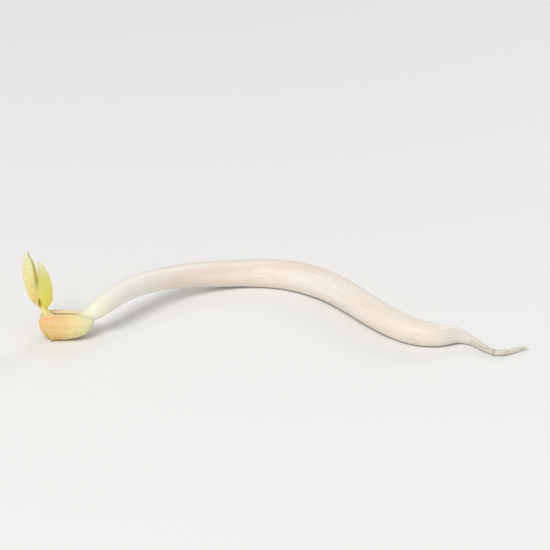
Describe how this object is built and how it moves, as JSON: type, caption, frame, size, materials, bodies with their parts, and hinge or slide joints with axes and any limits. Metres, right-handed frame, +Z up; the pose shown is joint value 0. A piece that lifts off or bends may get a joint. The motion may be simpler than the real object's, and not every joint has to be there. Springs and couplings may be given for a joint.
{
  "type": "mung bean sprout",
  "caption": "Single mung bean sprout lying down: bent white stem, root thread, open seed halves and a short shoot with folded first leaves.",
  "frame": {"origin": "on the surface that the sprout lies on, under the middle of its outer box", "axes": "+X from the seed halves towards the root tip, +Y to the side that the stem bends out to, +Z up"},
  "size_m": [0.0522, 0.019, 0.0098],
  "materials": {
    "stem": "satin",
    "cotyledon": "satin",
    "leaf": "satin"
  },
  "bodies": {
    "root": {"stem_with_root": "stem", "cotyledon_front": "cotyledon", "cotyledon_back": "cotyledon", "first_leaf_left": "leaf", "first_leaf_right": "leaf"}
  },
  "joints": []
}
